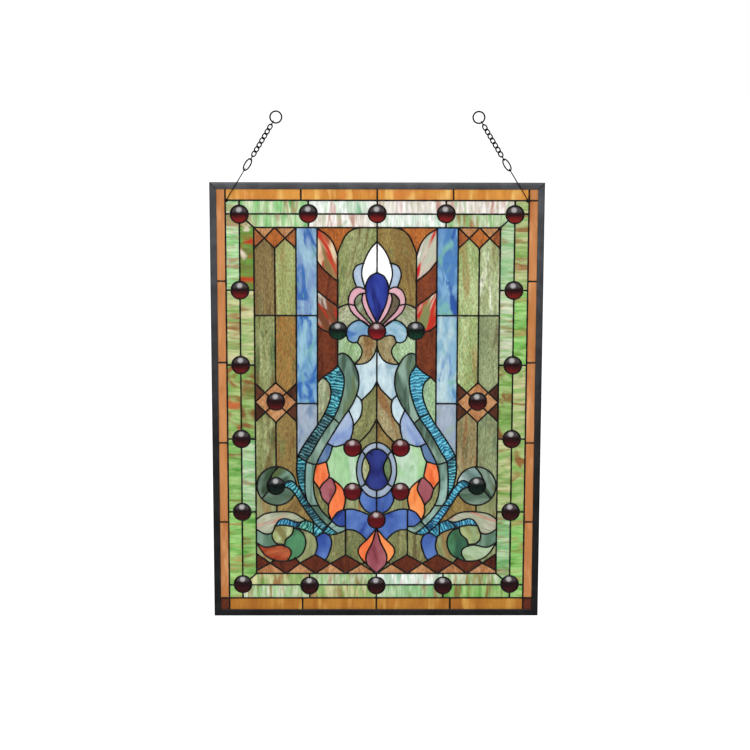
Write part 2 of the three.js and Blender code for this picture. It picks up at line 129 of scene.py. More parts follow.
drawnLeads = {
    "arch": [
        [(54.5, 98), (50, 86), (43, 72), (34, 64.5), (24, 61.5)],
    ],
    "twistedColumn": [
        [(82, 63), (69, 71.5), (60, 83), (54.5, 98)],
        [(82, 107.5), (73, 119), (62, 129), (54, 135)],
        [(82, 148.5), (70, 158), (54, 170)],
        [(82, 196.5), (74, 202.5), (64, 206)],
        [(82, 276), (74, 268), (63, 260.5), (54, 252)],
    ],
    "fleur": [
        [(0, 80.5), (10, 92), (18.5, 110), (21, 126), (17.5, 141), (15, 149)],
        [(0, 123), (10, 129), (15.8, 143), (13, 164), (6, 181), (0, 193)],
        [(17.5, 109.5), (29, 114.5), (33, 127), (28, 144)],
        [(16, 146), (26, 143), (35.5, 149), (39.5, 163), (35, 177), (24, 187.5), (9, 199)],
        [(15.5, 151.5), (24.5, 153.5), (31, 163), (27, 175), (16, 187), (7, 196)],
        [(19.5, 152), (20.5, 163), (14, 180), (4, 194)],
        [(54, 172.5), (46, 168.5), (39, 166.8), (30, 168.5)],
    ],
    "jewelPetals": [
        [(44, 205), (36, 194), (26, 189), (17, 191.5), (8, 200)],
        [(42.5, 208), (39, 217), (32, 220.3), (26.5, 218.5), (24, 212), (18, 210), (10, 211.5)],
        [(27, 219.5), (20.5, 230), (23, 241), (31, 250)],
        [(0, 226), (4, 237), (11, 246), (21, 250), (31, 250)],
    ],
    "band": [
        [(54.5, 237.5), (47, 234.8), (38, 240), (31, 250)],
        [(31, 250), (25.5, 265), (25.5, 284), (33, 305), (47, 326), (62, 350), (77, 376), (85, 395),
         (88, 415), (86, 438), (77, 457), (63, 472)],
        [(59, 327), (52, 333.5)],
        [(97, 388.5), (85, 391.5), (70, 388)],
        [(100.5, 450.5), (81, 450.5)],
        [(62.5, 473), (68, 479.5), (73.5, 485.5)],
        [(62.5, 473), (53, 480), (43.5, 480.5)],
        [(56, 491), (49, 488.5), (43, 485.5)],
    ],
    "ripple": [
        [(54, 252), (45.5, 268), (47.5, 292), (58, 322.5), (75, 348), (90, 374.5), (98.5, 391),
         (100, 425), (98, 441)],
        [(74, 268.5), (65, 279), (64.5, 299), (76, 326), (97, 357.5), (109, 379), (111.5, 400),
         (107.5, 423), (100, 436.5)],
        [(71, 320), (59.5, 325.5)],
        [(108.5, 380), (97.5, 388.5)],
    ],
    "tail": [
        [(129, 417.5), (119.5, 414.8), (109, 424), (97, 444), (82, 465), (69, 479), (56, 489.5)],
        [(129, 423.5), (118, 429), (103, 452), (88, 474), (75, 487), (66, 492.5), (55.5, 491)],
    ],
    "scrollEnd": [
        [(148.5, 412), (145, 404.5), (138, 396)],
        [(151.5, 430.5), (160, 440)],
    ],
    "flames": [
        [(86.5, 417), (80, 427), (76, 440), (67.5, 450), (67.5, 460), (63, 472)],
        [(70, 388), (67.5, 400), (66.5, 410), (75, 419), (80, 427)],
        [(61, 413), (57, 427), (63.5, 441), (67.5, 450)],
        [(66.5, 410), (61, 413), (48, 425), (43.5, 440), (46, 456)],
    ],
    "hourglassField": [
        [(20, 300), (10, 290), (5, 284), (0, 275)],
        [(28, 293.5), (20.8, 303), (22, 322), (33, 338)],
        [(38, 317), (33, 330), (33, 343), (36, 356)],
        [(46.5, 363.5), (58, 366.3), (68.5, 362)],
        [(61.5, 366.5), (65.5, 380), (70, 388)],
        [(0, 328), (10, 345), (23, 359)],
    ],
    "oval": [
        [(16, 379), (9.5, 397), (16.5, 419)],
        [(23, 370), (14.5, 379.5)],
        [(24, 425), (15.5, 419.5)],
    ],
    "wings": [
        [(21, 430), (24, 443), (17, 456), (10, 461)],
        [(46, 456.3), (34, 455.6), (22, 459), (10, 464)],
        [(46, 456.3), (55, 460.5), (63, 471.5)],
        [(43, 485), (32, 486), (22, 491.5), (14, 500)],
    ],
    "tulip": [
        [(2, 485.5), (12, 498), (23, 509), (25.3, 519), (17, 532), (0, 548.5)],
        [(0.8, 486), (2.5, 492), (6, 504), (13, 518), (14.8, 527), (13, 536)],
    ],
    "leaf": [
        [(168.5, 470), (155, 462), (135, 459.3), (116, 461), (98, 472)],
        [(168.5, 484.5), (157, 491), (147, 490), (142, 480), (136, 471.5), (127, 469.5), (110, 474.5),
         (98, 472), (87, 476.5)],
        [(140.5, 479.5), (128, 478.7), (108, 483.5), (92, 489.5), (84, 497)],
        [(112.5, 482), (104.5, 474)],
        [(88.5, 474), (88.5, 492)],
    ],
    "blueOval": [
        [(85, 496), (76, 490.2), (68.5, 491.5), (64, 498), (63, 507), (68, 523), (73, 530)],
        [(85, 496), (83, 509), (86.5, 521.5)],
    ],
    "roundel": [
        [(116, 482), (104, 489), (99.2, 504), (106, 521.5), (124, 530), (144, 529), (158, 520), (168.5, 504)],
        [(116, 482), (118.5, 491.5), (127, 499.5), (129, 507)],
        [(142, 480), (146.5, 494), (141, 504.5), (129, 506.5)],
        [(168.5, 504), (155, 510.5), (136, 507.3), (122, 512.5), (120, 521), (125, 530)],
    ],
}

roundLeads = {
    "scroll": {"centre": (139.5, 422.5), "halves": (27.5, 27.5), "turn": (-180, 158)},
    "ovalOuter": {"centre": (0, 400), "halves": (28, 39.5), "turn": (-90, 90)},
    "ovalInner": {"centre": (0, 399), "halves": (20.5, 29.5), "turn": (-90, 90)},
}


def curveThrough(points, step=2.5):
    line = [Vector(point) for point in points]
    ends = [2 * line[0] - line[1]] + line + [2 * line[-1] - line[-2]]
    path = []
    for before, start, end, after in zip(ends, ends[1:], ends[2:], ends[3:]):
        count = max(2, round((end - start).length / step))
        leave = start + (end - before) / 6
        arrive = end - (after - start) / 6
        path += interpolate_bezier(start, leave, arrive, end, count + 1)[:-1]
    return [point.to_2d() for point in path] + [line[-1]]


def straightThrough(points, step=2.5):
    path = []
    for start, end in zip(points, points[1:]):
        start = Vector(start)
        end = Vector(end)
        count = max(1, round((end - start).length / step))
        path += [start.lerp(end, i / count) for i in range(count)]
    return path + [Vector(points[-1])]


def roundThrough(centre, halves, turn, step=2.5):
    steps = round(abs(math.radians(turn[1] - turn[0])) * max(halves) / step)
    angles = [math.radians(turn[0] + (turn[1] - turn[0]) * i / steps) for i in range(steps + 1)]
    return [Vector((round(centre[0] + halves[0] * math.cos(a), 4),
                    round(centre[1] + halves[1] * math.sin(a), 4))) for a in angles]


def mirrored(line):
    return [Vector((-point.x, point.y)) for point in line]


joint = {"longest": 9.0, "longestStep": 6.0, "overlap": 0.4, "stepBack": 0.5}


def reachOf(end, heading, lines):
    # how far an end has to grow to run into the nearest other line
    longest = joint["longest"]
    near = longest + joint["longestStep"]
    reach = longest
    for line in lines:
        for start, stop in zip(line, line[1:]):
            if (start - end).length > near and (stop - end).length > near:
                continue
            hit = intersect_line_line_2d(end, end + heading * longest, start, stop)
            if hit:
                reach = min(reach, (hit - end).length)
    return joint["overlap"] if reach == longest else reach + joint["overlap"]


def joinedUp(line, others):
    grown = []
    for end, inner in ((line[0], line[1]), (line[-1], line[-2])):
        heading = (end - inner).normalized()
        grown.append(end + heading * reachOf(end - heading * joint["stepBack"], heading, others))
    return [grown[0]] + line + [grown[1]]


jewels = []
for colour, places in jewelPlaces.items():
    for across, down in places:
        for side in ((-1, 1) if across else (1,)):
            jewels.append((colour, Vector((side * across, down))))
jewelRings = [roundThrough(centre, (jewelSize["cut"],) * 2, (0, 360), step=jewelSize["step"])
              for colour, centre in jewels]

ruled = [straightThrough(points) for points in straightLeads]
ruled += [roundThrough(**lead) for lead in roundLeads.values()]
drawn = [curveThrough(points) for motif in drawnLeads.values() for points in motif]
drawn = [joinedUp(line, ruled + jewelRings + drawn[:i] + drawn[i + 1:]) for i, line in enumerate(drawn)]
rightLines = ruled + drawn
seams = rightLines + [mirrored(line) for line in rightLines if max(abs(point.x) for point in line) > 0.01]
seams += [straightThrough(points) for points in rightOnlyLeads]
print("drawing:", len(seams), "seams and", len(jewels), "jewels")


def cutPanes():
    points = []
    edges = []

    def addLine(line, closed=False):
        first = len(points)
        points.extend(line)
        edges.extend((i, i + 1) for i in range(first, len(points) - 1))
        if closed:
            edges.append((len(points) - 1, first))

    side = outerEdge["side"]
    addLine([Vector((-side, outerEdge["top"])), Vector((side, outerEdge["top"])),
             Vector((side, outerEdge["bottom"])), Vector((-side, outerEdge["bottom"]))], closed=True)
    for line in seams:
        addLine(line)
    for ring in jewelRings:
        addLine(ring[:-1], closed=True)
    cut = delaunay_2d_cdt(points, edges, [], 1, 0.01)
    spots, bars, triangles, barFrom = *cut[:3], cut[4]
    walls = {tuple(sorted(bar)) for bar, origin in zip(bars, barFrom) if origin}
    touching = {}
    for i, triangle in enumerate(triangles):
        for a, b in zip(triangle, triangle[1:] + triangle[:1]):
            touching.setdefault(tuple(sorted((a, b))), []).append(i)
    panes = []
    unseen = set(range(len(triangles)))
    while unseen:
        pane = []
        waiting = [min(unseen)]
        unseen.discard(waiting[0])
        while waiting:
            i = waiting.pop()
            pane.append(triangles[i])
            triangle = triangles[i]
            for a, b in zip(triangle, triangle[1:] + triangle[:1]):
                edge = tuple(sorted((a, b)))
                if edge in walls:
                    continue
                for other in touching[edge]:
                    if other in unseen:
                        unseen.discard(other)
                        waiting.append(other)
        panes.append(pane)
    return spots, panes


def areaOf(spots, triangle):
    a, b, c = (spots[i] for i in triangle)
    return abs((b - a).cross(c - a)) / 2


def middleOf(spots, triangle):
    return sum((spots[i] for i in triangle), Vector((0, 0))) / 3


spots, panes = cutPanes()
print("panes:", len(panes))


def rgb(shade):
    # a colour as it is typed in a colour picker, made linear
    parts = [int(shade[i:i + 2], 16) for i in (0, 2, 4)]
    return [((c / 255 + 0.055) / 1.055) ** 2.4 if c > 10 else c / 255 / 12.92 for c in parts] + [1.0]


# each sheet: how it was rolled, its main and second colours, the colour of its streaks and of its flecks
sheets = {
    "amber": ("wispy", "ca8854", "b6743e", "dea472", "aa6434"),
    "goldAmber": ("wispy", "d69440", "c27a30", "e8b866", "cc7232"),
    "deepAmber": ("wispy", "b67a2a", "a0601c", "ce9a46", "b0682c"),
    "redBrown": ("granular", "622a14", "6c3018", "542210", "4a1c0e"),
    "springGreen": ("streaky", "68ac4c", "a0cc7a", "a09254", "608430"),
    "leafGreen": ("streaky", "6aa44c", "9ec076", "826c3a", "4a8e34"),
    "seafoam": ("streaky", "7eb476", "bed0ac", "908254", "569c4e"),
    "hedgeGreen": ("blotched", "709c48", "a0ba76", "825a32", "5c7c32"),
    "roseGreen": ("streaky", "88ac62", "cac696", "967044", "6e9842"),
    "emberGreen": ("blotched", "70783a", "669c40", "b83a1e", "e6d4c0"),
    "foxGreen": ("blotched", "7aa852", "b0c080", "906236", "be6436"),
    "pearl": ("streaky", "c4d8c2", "f4f4f2", "84ba92", "ce9c96"),
    "rosePearl": ("streaky", "cac4b0", "f6f2f0", "ba8e80", "8eba84"),
    "dewGreen": ("streaky", "84c078", "cedcb8", "a28c64", "5caa60"),
    "mossPearl": ("streaky", "80b26a", "d2d8be", "8e7e44", "a47650"),
    "olive": ("granular", "828c54", "a0a874", "6c6036", "587244"),
    "brownOlive": ("granular", "7a663e", "907c4c", "685432", "747a50"),
    "paleOlive": ("granular", "a4b484", "c4d0a6", "8e8a58", "e4e6d0"),
    "greyOlive": ("granular", "829066", "9ca87a", "72704e", "627856"),
    "goldenOlive": ("granular", "866c3a", "988248", "74582c", "7a7e4a"),
    "brightOlive": ("granular", "90a86a", "b6ca92", "9c824c", "628a50"),
    "orangeOlive": ("granular", "8a7038", "9e7c3e", "aa682a", "6c6a3c"),
    "leafOlive": ("granular", "7a7e4e", "929460", "665c36", "5e7044"),
    "meadow": ("granular", "8e985a", "aab678", "967a48", "70844c"),
    "tan": ("granular", "8c8258", "a69c74", "8e683e", "70704a"),
    "orange": ("granular", "b06226", "bc702e", "9a501c", "8e481a"),
    "brownOrange": ("granular", "9e582a", "ac6836", "8a4620", "7e3e1e"),
    "salmon": ("granular", "b88252", "c49062", "a86e40", "9e643a"),
    "darkBrown": ("granular", "562e1c", "603622", "462416", "3e2014"),
    "rust": ("granular", "78381c", "884222", "642a14", "6e3c24"),
    "darkRust": ("granular", "6e3218", "7a3a1c", "5e2610", "562412"),
    "violetSky": ("marbled", "7692bc", "96bacc", "3c68aa", "70a49e"),
    "azure": ("marbled", "4c7cb4", "7caaca", "2c529c", "74aea6"),
    "openSky": ("marbled", "5e90bc", "8eb8cc", "3466ae", "70a89c"),
    "paleSky": ("marbled", "7eaac4", "b2ccd2", "4e80bc", "76ae98"),
    "lavender": ("mottled", "90a2b2", "a4aec0", "748aa6", "98aca2"),
    "flame": ("brushed", "a0764c", "846e42", "be3826", "dec8a4"),
    "poppy": ("brushed", "c4baa8", "b0bca6", "c4221e", "f0ece6"),
    "blaze": ("brushed", "8c5032", "70422a", "bc2a1c", "cec4b8"),
    "poppyGreen": ("brushed", "a4a270", "d4ceb4", "c02c20", "7e8452"),
    "white": ("mottled", "fdfdfc", "ffffff", "fafbfc", "f8f9f9"),
    "cobalt": ("smooth", "283288", "3446a0", "202468", "1e205c"),
    "mist": ("smooth", "a0b4cc", "b4c4d6", "8ea4c2", "96acbe"),
    "pink": ("smooth", "d49eac", "e2b2be", "c68c9a", "cca0a4"),
    "sage": ("granular", "7c886a", "94a282", "687054", "847c58"),
    "umber": ("granular", "685c48", "7a6c52", "5a4c3a", "605e42"),
    "paleSage": ("granular", "a0a884", "b8bc9e", "8c8a66", "849670"),
    "cornflower": ("mottled", "628eb4", "86aac6", "4a74b0", "649ca0"),
    "mint": ("granular", "94b686", "b0caa2", "7e9c68", "8cac8e"),
    "ice": ("mottled", "b0cad4", "cee0e6", "92b0c0", "bed0cc"),
    "slateGreen": ("smoky", "5e7a6a", "8eaa9a", "445a4c", "627454"),
    "lichen": ("smoky", "6a8c80", "94b4aa", "506a5a", "6e805a"),
    "pewter": ("smoky", "526a58", "7e9486", "364a36", "5e6846"),
    # rippled sheets: the painted shade of the troughs, the painted highlight of the crests, the half-lit
    # slopes, and a deeper colour for patches
    "turquoise": ("rippled", "144a5a", "70ced8", "3c92a4", "0c2a3a"),
    "deepTeal": ("rippled", "184250", "68a8b0", "3c7886", "0c2430"),
    "shadedTeal": ("rippled", "122c36", "6a9ea2", "3a6870", "0a1a24"),
    "brightTeal": ("rippled", "1e6482", "74d4ea", "48a4c4", "103a56"),
    "ribbonBlue": ("rippled", "1c5884", "74cade", "4090ba", "0e3258"),
    "emerald": ("rippled", "1e5852", "7cceb8", "3e8e82", "103432"),
    "periwinkle": ("mottled", "7c94c4", "a4b6d0", "5472b8", "96acbc"),
    "steelBlue": ("mottled", "56749c", "728eb0", "425e8e", "5c7c88"),
    "apple": ("mottled", "8ec088", "acd0a2", "bcd4be", "7eae70"),
    "tangerine": ("smooth", "ee7440", "f48c56", "e06030", "e46a42"),
    "marigold": ("smooth", "f08846", "f69c5c", "e27436", "e87c42"),
    "mauve": ("smooth", "904650", "a66068", "7a3640", "864642"),
    "haze": ("smooth", "92a2b8", "a4b2c4", "7c8ea6", "869aaa"),
    "navy": ("smooth", "1e205c", "303c84", "141442", "16183c"),
    "cream": ("granular", "b4b68c", "cac8a2", "989c68", "869866"),
    "fern": ("granular", "668258", "7c966c", "526a44", "6e7648"),
    "delft": ("smooth", "4260a8", "5c7cbc", "304894", "385488"),
    "inkBlue": ("smooth", "2c408c", "3c56a2", "222e70", "283c6e"),
    "garden": ("streaky", "808658", "9aa074", "966c42", "607046"),
    "blush": ("streaky", "98a286", "b2b29c", "c28c78", "ccc4b2"),
    "mistGreen": ("smoky", "78948e", "bacac8", "4e6a62", "688474"),
    "pine": ("smooth", "427654", "548e62", "325844", "3c603e"),
    "reseda": ("smoky", "50705a", "7a9a88", "364e3a", "54643c"),
    "chartreuse": ("mottled", "96a468", "b4bc8e", "7e7a4a", "8ca074"),
    "ember": ("streaky", "9a3e22", "b05c38", "822616", "966e52"),
    "willow": ("mottled", "9ab488", "b6c8aa", "7e9866", "a8b48c"),
}
sheets = {kind: (look, *map(rgb, tones)) for kind, (look, *tones) in sheets.items()}

# (left sheet, right sheet, grain in degrees from upright, places in the right half)
fieldPanes = [
    ("brownOlive", "paleOlive", 0, [(154, 130)]),
    ("meadow", "brightOlive", 0, [(126, 130)]),
    ("olive", "greyOlive", 0, [(154, 230)]),
    ("orangeOlive", "brightOlive", 0, [(126, 230)]),
    ("olive", "greyOlive", 0, [(154, 370)]),
    ("goldenOlive", "tan", 0, [(126, 370)]),
    ("salmon", "salmon", 0, [(126, 66), (154, 66), (140, 288), (124, 303.5), (157, 303.5), (140, 320)]),
    ("orange", "orange", 0, [(140, 76)]),
    ("brownOrange", "brownOrange", 0, [(116, 76), (164, 76)]),
    ("darkBrown", "darkBrown", 0, [(114, 288), (165, 288), (114, 319), (165, 319)]),
    ("violetSky", "azure", 0, [(96, 110)]),
    ("openSky", "paleSky", 0, [(96, 240)]),
    ("lavender", "lavender", 0, [(92, 320)]),
    ("orange", "orange", 0, [(56, 70)]),
    ("flame", "poppy", -22, [(70, 90)]),
    ("rust", "rust", 10, [(68, 130)]),
    ("blaze", "poppyGreen", -22, [(70, 170)]),
    ("darkRust", "darkRust", 0, [(68, 235)]),
    ("paleSage", "mint", 0, [(75, 290), (74, 300)]),
    ("olive", "goldenOlive", 10, [(40, 85), (46, 140), (8, 70)]),
    ("white", "white", 0, [(8, 105)]),
    ("cobalt", "cobalt", 0, [(5, 150)]),
    ("mist", "mist", 0, [(26, 125)]),
    ("pink", "pink", 0, [(32, 152), (18, 165), (31, 172)]),
    ("sage", "umber", 40, [(25, 163), (19, 181), (25, 168)]),
    ("paleSage", "paleSage", 40, [(46, 182)]),
    ("cornflower", "paleSky", 60, [(27, 203)]),
    ("tan", "tan", 0, [(12, 226)]),
    ("mint", "mint", 20, [(40, 228)]),
    ("slateGreen", "slateGreen", 0, [(35, 270), (70, 350)]),
    ("lichen", "lichen", 0, [(93, 410), (72, 474)]),
    ("lichen", "lichen", 60, [(50, 486)]),
    ("turquoise", "brightTeal", 98, [(55, 275)]),
    ("shadedTeal", "brightTeal", 118, [(84, 350)]),
    ("turquoise", "turquoise", 90, [(105, 400), (103, 430)]),
    ("turquoise", "brightTeal", 45, [(107, 432), (118, 419)]),
    ("deepTeal", "ribbonBlue", 60, [(80, 468)]),
    ("turquoise", "brightTeal", 50, [(66, 485), (84, 486)]),
    ("ice", "ice", 0, [(14, 260), (3, 240)]),
    ("ice", "ice", 10, [(28, 312)]),
    ("leafOlive", "tan", 15, [(20, 325), (6, 310)]),
    ("leafOlive", "goldenOlive", 0, [(6, 352)]),
    ("periwinkle", "periwinkle", 20, [(50, 345)]),
    ("steelBlue", "steelBlue", 0, [(74, 378)]),
    ("apple", "apple", 0, [(50, 395)]),
    ("tangerine", "tangerine", 0, [(77, 405)]),
    ("mauve", "mauve", 10, [(69, 430)]),
    ("tangerine", "marigold", 0, [(55, 440)]),
    ("leafOlive", "leafOlive", 0, [(80, 440), (74, 450)]),
    ("haze", "haze", 0, [(24, 382), (25, 400), (20, 427), (5, 434), (5, 365), (14, 371)]),
    ("navy", "navy", 0, [(4, 400), (4, 375), (4, 425)]),
    ("cream", "fern", 0, [(16, 398)]),
    ("delft", "delft", 0, [(12, 448)]),
    ("garden", "garden", 0, [(34, 449)]),
    ("delft", "delft", 20, [(28, 470)]),
    ("inkBlue", "delft", 0, [(53, 468)]),
    ("leafOlive", "leafOlive", 0, [(34, 505), (53, 510)]),
    ("mauve", "mauve", 0, [(5, 515)]),
    ("tangerine", "marigold", 0, [(19, 515)]),
    ("redBrown", "redBrown", 0, [(43, 535), (86, 535), (127, 540), (163, 531)]),
    ("salmon", "salmon", 0, [(22, 543), (64, 543), (107, 543), (148, 543)]),
    ("delft", "delft", 0, [(76, 508)]),
    ("garden", "garden", 10, [(92, 510), (91, 492)]),
    ("pine", "pine", 0, [(108, 505)]),
    ("chartreuse", "chartreuse", 30, [(134, 490)]),
    ("reseda", "reseda", 0, [(157, 500)]),
    ("ember", "willow", 80, [(138, 518)]),
    ("garden", "garden", 0, [(164, 520), (14.5, 536.8)]),
    ("blush", "blush", 70, [(150, 472)]),
    ("ribbonBlue", "ribbonBlue", 14, [(125, 476)]),
    ("emerald", "brightTeal", 20, [(98, 482)]),
    ("reseda", "mistGreen", 60, [(130, 402)]),
    ("pewter", "pewter", 15, [(158, 410)]),
    ("pewter", "pewter", 80, [(128, 440)]),
    ("goldenOlive", "goldenOlive", 30, [(115, 452)]),
    ("garden", "garden", 0, [(155, 455)]),
]
# the green border's sheets, in order down the sides and from left to right along the top and bottom
stripSheets = {
    ("left", "outer"): ("dewGreen", "roseGreen", "foxGreen", "leafGreen", "springGreen"),
    ("left", "inner"): ("emberGreen", "roseGreen", "hedgeGreen", "seafoam", "leafGreen"),
    ("right", "inner"): ("seafoam", "mossPearl", "hedgeGreen", "roseGreen", "seafoam"),
    ("right", "outer"): ("roseGreen", "springGreen", "roseGreen", "foxGreen", "springGreen"),
    ("top", "outer"): ("dewGreen", "pearl", "rosePearl", "rosePearl"),
    ("top", "inner"): ("dewGreen", "rosePearl", "pearl", "mossPearl"),
    ("bottom", "inner"): ("roseGreen", "mossPearl", "pearl", "mossPearl"),
    ("bottom", "outer"): ("mossPearl", "roseGreen", "seafoam", "leafGreen"),
}


# its sheets change at the jewels: the first jewel's place along the strip, and the spacing
jewelSpacing = {"upright": (43.5, 104), "level": (-188, 94)}


def stripSheet(side, middle):
    if side in ("left", "right"):
        row = "outer" if abs(middle.x) > garland["side"] else "inner"
        start, pitch = jewelSpacing["upright"]
        along = middle.y
    else:
        row = "outer" if middle.y < garland["top"] or middle.y > garland["bottom"] else "inner"
        start, pitch = jewelSpacing["level"]
        along = middle.x
    kinds = stripSheets[side, row]
    return kinds[min(len(kinds) - 1, max(0, int((along - start) / pitch)))]


def loopAround(pane):
    # the pane's outline, as one ring of spot numbers
    used = {}
    for triangle in pane:
        for a, b in zip(triangle, triangle[1:] + triangle[:1]):
            used[(a, b)] = True
    following = {a: b for a, b in used if (b, a) not in used}
    start = min(following)
    ring = [start]
    while following[ring[-1]] != start and len(ring) <= len(following):
        ring.append(following[ring[-1]])
    return ring


def evenRing(ring, shortest):
    # leaves out spots that stand closer together than the glass is cut
    kept = []
    for number in ring:
        if not kept or (spots[number] - spots[kept[-1]]).length > shortest:
            kept.append(number)
    if len(kept) > 3 and (spots[kept[0]] - spots[kept[-1]]).length < shortest:
        kept.pop()
    return kept


def holds(pane, place):
    for triangle in pane:
        a, b, c = (spots[i] for i in triangle)
        turns = [(b - a).cross(place - a), (c - b).cross(place - b), (a - c).cross(place - c)]
        if min(turns) >= 0 or max(turns) <= 0:
            return True
    return False


def inJewel(pane):
    middle = middleOf(spots, max(pane, key=lambda triangle: areaOf(spots, triangle)))
    return any((middle - centre).length < jewelSize["inside"] for colour, centre in jewels)


def describe(pane):
    # the group, sheet and grain of one pane
    ring = [spots[i] for i in loopAround(pane)]
    middle = sum(ring, Vector((0, 0))) / len(ring)
    across = abs(middle.x)
    side = "left" if middle.x < 0 else "right"
    if across > border["side"] or not border["top"] < middle.y < border["bottom"]:
        if across < border["side"]:
            side = "top" if middle.y < border["top"] else "bottom"
        if across > border["side"] and middle.y > border["bottom"]:
            return "amber_border_" + side, "redBrown", 0
        if side == "bottom":
            return "amber_border_bottom", "deepAmber", 0
        if side == "top":
            return "amber_border_top", "goldAmber", 0
        return "amber_border_" + side, "amber", 0
    if across > field["side"] or not field["top"] < middle.y < field["bottom"]:
        if across < field["side"] + 0.5 or across < garland["side"] - 20:
            side = "top" if middle.y < field["top"] else "bottom"
            return "green_border_" + side, stripSheet(side, middle), 0
        return "green_border_" + side, stripSheet(side, middle), 90
    for left, right, grain, places in fieldPanes:
        for u, v in places:
            for hand, kind in ((-1, left), (1, right)):
                if holds(pane, Vector((u * hand, v))):
                    return regionOf(across, middle.y, "left" if hand < 0 else "right"), kind, grain * hand
    return None, "sage", 0


def regionOf(across, down, side):
    if across > 111 and down < 450:
        return "side_panes_" + side
    if across > 82 and down < 380:
        return "column_panes_" + side
    if down < 250 and across > 54:
        return "twisted_column_panes_" + side
    if down < 262:
        return "crest_panes"
    if down > 500 or across > 95:
        return "foot_panes_" + side
    return "vase_panes_" + side


def describeAll():
    chance = random.Random(4)
    size = {"smallest": 14, "farthestPlace": 400}
    plan = {}
    for pane in panes:
        area = sum(areaOf(spots, triangle) for triangle in pane)
        if area < size["smallest"] or inJewel(pane):
            continue
        group, kind, grain = describe(pane)
        if group is None:
            middle = middleOf(spots, max(pane, key=lambda triangle: areaOf(spots, triangle)))
            print("no sheet for the pane at", round(middle.x), round(middle.y), "of", round(area), "mm2")
            group = "vase_panes_left" if middle.x < 0 else "vase_panes_right"
        plan.setdefault(group, []).append((pane, kind, grain, chance.uniform(0, size["farthestPlace"])))
    return plan


class Value:
    # a shader socket: arithmetic on it adds Math nodes
    def __init__(self, tree, socket=None):
        self.tree = tree
        self.socket = socket

    def node(self, kind, settings, inputs, output=0):
        made = self.tree.nodes.new(kind)
        for name, setting in settings.items():
            setattr(made, name, setting)
        for name, value in inputs.items():
            if isinstance(value, Value):
                self.tree.links.new(value.socket, made.inputs[name])
            else:
                made.inputs[name].default_value = value
        return Value(self.tree, made.outputs[output])

    def math(self, operation, first, second):
        return self.node("ShaderNodeMath", {"operation": operation}, {0: first, 1: second})

    def __add__(self, other):
        return self.math("ADD", self, other)

    def __sub__(self, other):
        return self.math("SUBTRACT", self, other)

    def __rsub__(self, other):
        return self.math("SUBTRACT", other, self)

    def __mul__(self, other):
        return self.math("MULTIPLY", self, other)

    __radd__ = __add__
    __rmul__ = __mul__


def newMaterial(name, **settings):
    material = bpy.data.materials.new(name)
    material.use_nodes = True
    shader = material.node_tree.nodes["Principled BSDF"]
    for socket, value in settings.items():
        shader.inputs[socket.replace("_", " ")].default_value = value
    return material, Value(material.node_tree), shader


def feed(graph, shader, socket, value):
    graph.tree.links.new(value.socket, shader.inputs[socket])


def noiseOn(graph, coordinates, scale, detail=2.0, distortion=0.0, roughness=0.5):
    # scale is for two or three axes
    stretch = {0: coordinates, 1: (*scale, 1)[:3]}
    stretched = graph.node("ShaderNodeVectorMath", {"operation": "MULTIPLY"}, stretch)
    settings = {"Scale": 1.0, "Detail": detail, "Distortion": distortion, "Roughness": roughness}
    return graph.node("ShaderNodeTexNoise", {}, {"Vector": stretched, **settings})


def ramped(graph, value, low, high):
    limits = {"Value": value, "From Min": low, "From Max": high}
    return graph.node("ShaderNodeMapRange", {"interpolation_type": "SMOOTHSTEP"}, limits)


def blend(graph, share, first, second):
    return graph.node("ShaderNodeMix", {"data_type": "RGBA"}, {0: share, 6: first, 7: second}, output=2)


def scaled(graph, colour, amount):
    return graph.node("ShaderNodeVectorMath", {"operation": "SCALE"}, {0: colour, "Scale": amount})


def bumped(graph, height, strength, depth):
    return graph.node("ShaderNodeBump", {}, {"Strength": strength, "Distance": depth, "Height": height})


def heightOf(graph):
    return graph.node("ShaderNodeSeparateXYZ", {}, {0: objectPlace(graph)}, output="Z")


def objectPlace(graph):
    return graph.node("ShaderNodeTexCoord", {}, {}, output="Object")


